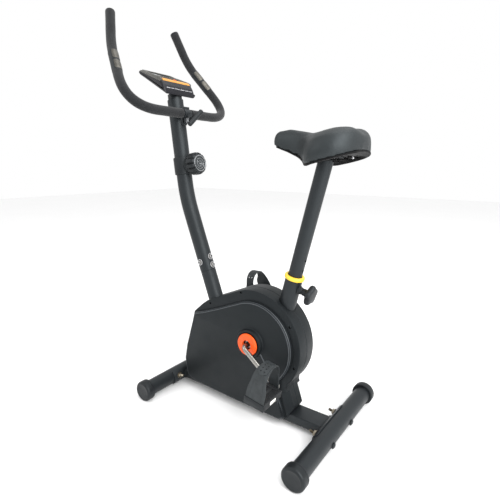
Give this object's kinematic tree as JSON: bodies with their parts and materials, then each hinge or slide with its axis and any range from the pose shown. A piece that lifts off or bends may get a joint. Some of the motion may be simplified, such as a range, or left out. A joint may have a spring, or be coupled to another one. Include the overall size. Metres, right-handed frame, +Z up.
{
  "type": "exercise bike",
  "caption": "Upright magnetic exercise bike with enclosed belt drive, sliding saddle post, tilting horn handlebar, tension dial and small console.",
  "frame": {"origin": "bottom centre of the bounding box, on the floor under the middle of the bike", "axes": "+Z up; +X toward the saddle end, -X toward the handlebar; +Y the rider's right, -Y the rider's left"},
  "size_m": [0.7843, 0.477, 1.2195],
  "materials": {
    "frame_paint": "semi-gloss charcoal powder coat",
    "casing_plastic": "matte moulded slate grey",
    "black_plastic": "moulded black, lightly textured",
    "foam": "closed-cell foam sleeve",
    "saddle_vinyl": "soft-sheen stretched vinyl",
    "orange_plastic": "moulded orange",
    "yellow_plastic": "moulded yellow",
    "bright_metal": "bright plated",
    "zinc_hardware": "yellow zinc plated",
    "machined_steel": "turned steel",
    "strap_rubber": "moulded flexible rubber",
    "display_window": "clear window over a grey display"
  },
  "bodies": {
    "frame": {"front_stabiliser": "frame_paint", "front_cradle": "frame_paint", "front_bolt_left": "zinc_hardware", "front_nut_left": "zinc_hardware", "front_cap_left": "black_plastic", "front_bolt_right": "zinc_hardware", "front_nut_right": "zinc_hardware", "front_cap_right": "black_plastic", "rear_stabiliser": "frame_paint", "rear_cradle": "frame_paint", "rear_bolt_left": "zinc_hardware", "rear_nut_left": "zinc_hardware", "rear_cap_left": "black_plastic", "rear_bolt_right": "zinc_hardware", "rear_nut_right": "zinc_hardware", "rear_cap_right": "black_plastic", "main_tube": "frame_paint", "post_stub": "frame_paint", "seat_tube": "frame_paint", "bottom_bracket": "frame_paint", "flywheel_bracket": "frame_paint", "drive_belt": "strap_rubber", "casing_left": "casing_plastic", "crank_cover_left": "orange_plastic", "casing_right": "casing_plastic", "crank_cover_right": "orange_plastic", "handlebar_post": "frame_paint", "post_bolt_upper": "zinc_hardware", "post_bolt_lower": "zinc_hardware", "post_bolt_left": "zinc_hardware", "tension_housing": "black_plastic", "tension_cable": "strap_rubber", "clamp_cap": "frame_paint", "console_housing": "black_plastic", "console_display": "display_window", "console_bracket": "black_plastic", "seat_collar": "yellow_plastic"},
    "crank": {"crank": "bright_metal", "drive_pulley": "black_plastic", "pedal_spindle_left": "machined_steel", "pedal_spindle_right": "machined_steel"},
    "pedal_left": {"pedal_left": "black_plastic", "pedal_strap_left": "strap_rubber"},
    "pedal_right": {"pedal_right": "black_plastic", "pedal_strap_right": "strap_rubber"},
    "flywheel": {"flywheel": "machined_steel", "flywheel_shaft": "machined_steel"},
    "tension_knob": {"tension_knob": "black_plastic"},
    "magnet": {"magnet_bracket": "zinc_hardware"},
    "handlebar": {"handlebar": "frame_paint", "grip_left": "foam", "grip_right": "foam", "pulse_sensor_left": "bright_metal", "pulse_sensor_right": "bright_metal"},
    "clamp_screw": {"clamp_knob": "black_plastic"},
    "seat": {"seat_post": "frame_paint", "saddle": "saddle_vinyl", "saddle_base": "black_plastic"},
    "seat_knob": {"seat_knob": "black_plastic"},
    "console_button": {"console_button": "orange_plastic"}
  },
  "joints": [
    {"name": "crank_spin", "type": "hinge", "parent": "frame", "child": "crank", "pos_m": [0.0912, 0, 0.241], "axis": [0, 1, 0], "continuous": true},
    {"name": "pedal_left_spin", "type": "hinge", "parent": "crank", "child": "pedal_left", "pos_m": [0.20823, -0.097, 0.16057], "axis": [0, 1, 0], "continuous": true},
    {"name": "pedal_right_spin", "type": "hinge", "parent": "crank", "child": "pedal_right", "pos_m": [-0.02583, 0.097, 0.32143], "axis": [0, 1, 0], "continuous": true},
    {"name": "flywheel_spin", "type": "hinge", "parent": "frame", "child": "flywheel", "pos_m": [-0.0768, 0, 0.16], "axis": [0, 1, 0], "continuous": true},
    {"name": "tension_turn", "type": "hinge", "parent": "frame", "child": "tension_knob", "pos_m": [-0.22086, 0, 0.757], "axis": [0.9917, 0, 0.1289], "range_deg": [0, 300]},
    {"name": "magnet_swing", "type": "hinge", "parent": "frame", "child": "magnet", "pos_m": [-0.0018, 0, 0.072], "axis": [0, -1, 0], "range_deg": [0, 1.5]},
    {"name": "handlebar_tilt", "type": "hinge", "parent": "frame", "child": "handlebar", "pos_m": [-0.2017, 0, 0.9183], "axis": [0, 1, 0], "range_deg": [-20, 20]},
    {"name": "clamp_screw_turn", "type": "hinge", "parent": "frame", "child": "clamp_screw", "pos_m": [-0.2017, 0, 0.8958], "axis": [0.9806, 0, 0.1961], "range_deg": [0, 540]},
    {"name": "seat_slide", "type": "slide", "parent": "frame", "child": "seat", "axis": [0.2453, 0, 0.9694], "range_m": [-0.15, 0.03]},
    {"name": "seat_knob_pull", "type": "slide", "parent": "frame", "child": "seat_knob", "axis": [0.9694, 0, -0.2453], "range_m": [0, 0.012], "stiffness_N_per_m": 800},
    {"name": "console_button_press", "type": "slide", "parent": "frame", "child": "console_button", "axis": [-0.3953, 0, -0.9186], "range_m": [0, 0.0015], "stiffness_N_per_m": 400}
  ],
  "couplings": [
    {"joint": "flywheel_spin", "follows": "crank_spin", "ratio": 7.7143},
    {"joint": "magnet_swing", "follows": "tension_turn", "ratio": 0.005}
  ]
}
